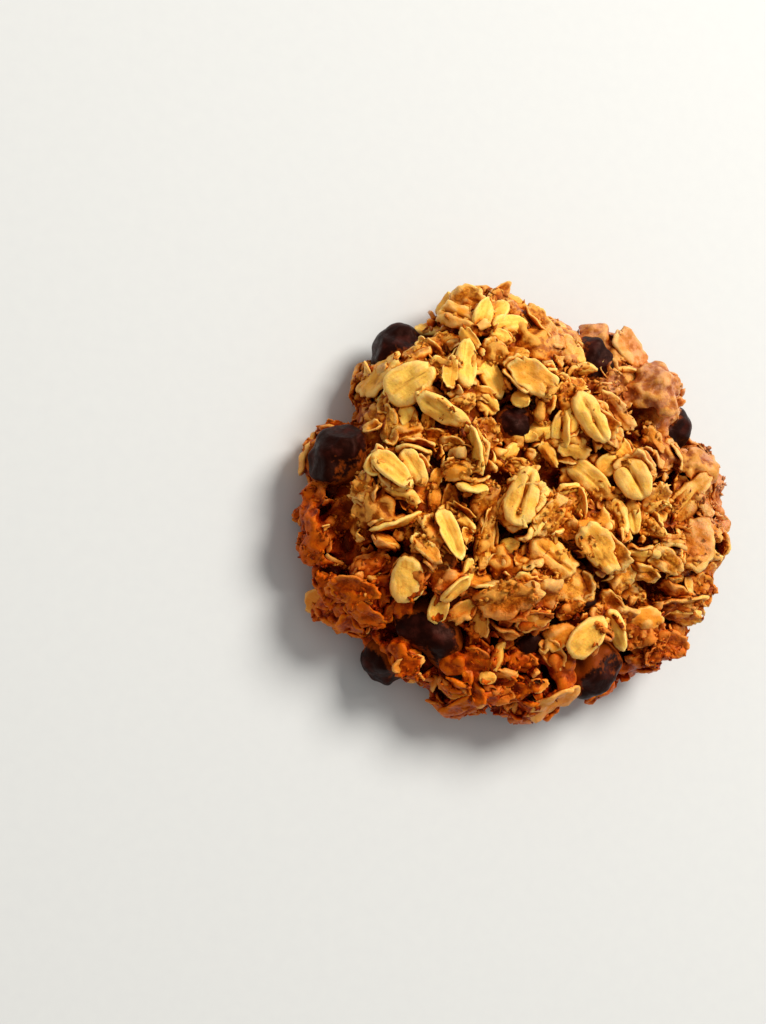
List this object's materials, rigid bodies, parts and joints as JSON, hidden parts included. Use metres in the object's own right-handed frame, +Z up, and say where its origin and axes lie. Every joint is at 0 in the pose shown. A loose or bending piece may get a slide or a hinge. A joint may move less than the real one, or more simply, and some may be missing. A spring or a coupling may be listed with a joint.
{
  "type": "oatmeal cookie",
  "caption": "Thick, craggy round oatmeal cookie of whole rolled oat flakes in brown dough, with dark chocolate chips and a chunk set in it.",
  "frame": {"origin": "under the middle of the cookie, on the flat base that it rests on", "axes": "+Z up through the cookie's thickness, out of the shown face; +X to the cookie's right and +Y to its top as it is shown from above"},
  "size_m": [0.0691, 0.0676, 0.0211],
  "materials": {
    "baked_oat_dough": "baked oat dough, satin and sticky brown, with paler flakes",
    "dark_chocolate": "dark chocolate, satin, softened by baking"
  },
  "bodies": {
    "root": {"cookie": "baked_oat_dough", "chip_top_right": "dark_chocolate", "chip_right": "dark_chocolate", "chip_left": "dark_chocolate", "chip_upper_left": "dark_chocolate", "chip_centre": "dark_chocolate", "chunk_low_left": "dark_chocolate", "chip_bottom_right": "dark_chocolate", "chip_low_left": "dark_chocolate", "chip_far_side": "dark_chocolate"}
  },
  "joints": []
}
